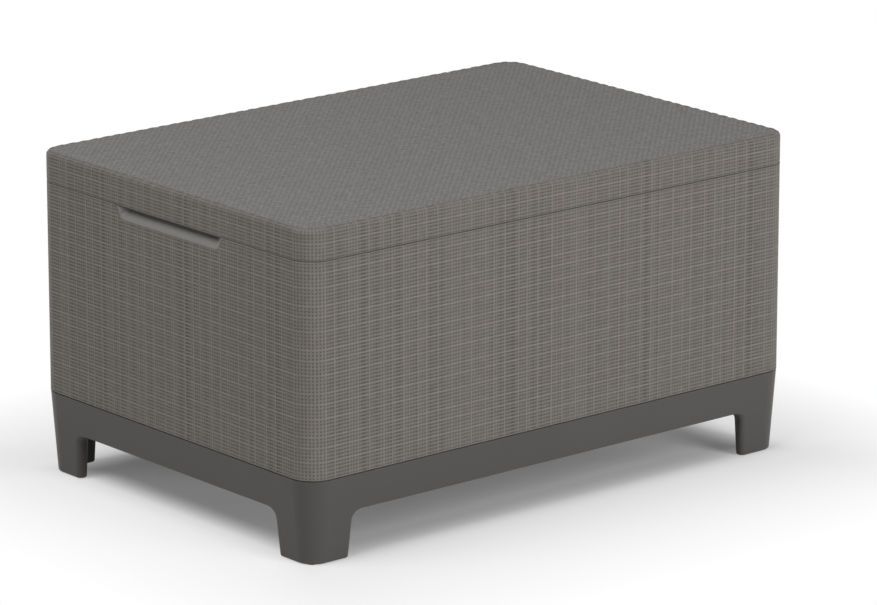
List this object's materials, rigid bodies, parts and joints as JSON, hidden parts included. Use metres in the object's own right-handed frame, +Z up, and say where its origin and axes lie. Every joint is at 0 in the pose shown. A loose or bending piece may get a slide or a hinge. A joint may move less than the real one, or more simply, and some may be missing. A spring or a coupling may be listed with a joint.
{
  "type": "storage table",
  "caption": "Low rectangular outdoor storage table with a woven-look box wall, a lift-off lid with finger scoops at both ends, and a dark base on L-shaped legs.",
  "frame": {"origin": "on the floor, under the centre of the table", "axes": "+X along the length, +Y from the front long side to the back, +Z up"},
  "size_m": [0.787, 0.544, 0.42],
  "materials": {
    "woven_resin": "warm grey moulded resin with a fine woven relief",
    "base_resin": "smooth satin dark grey moulded resin",
    "panel_resin": "plain grey moulded resin with a fine grain",
    "screw_steel": "zinc plated",
    "glide_resin": "black moulded glide",
    "bumper_rubber": "soft black rubber"
  },
  "bodies": {
    "cabinet": {"base_frame": "base_resin", "wall_shell": "woven_resin", "floor_panel": "panel_resin", "base_screws": "screw_steel", "foot_glide_front_left": "glide_resin", "foot_glide_front_right": "glide_resin", "foot_glide_back_left": "glide_resin", "foot_glide_back_right": "glide_resin"},
    "lid": {"lid_shell": "woven_resin", "lid_liner": "panel_resin", "lid_screws": "screw_steel", "lid_bumper_front_left": "bumper_rubber", "lid_bumper_front_right": "bumper_rubber", "lid_bumper_back_left": "bumper_rubber", "lid_bumper_back_right": "bumper_rubber"}
  },
  "joints": [
    {"name": "lid_lift", "type": "slide", "parent": "cabinet", "child": "lid", "axis": [0, 0, 1], "range_m": [0, 0.3]}
  ]
}
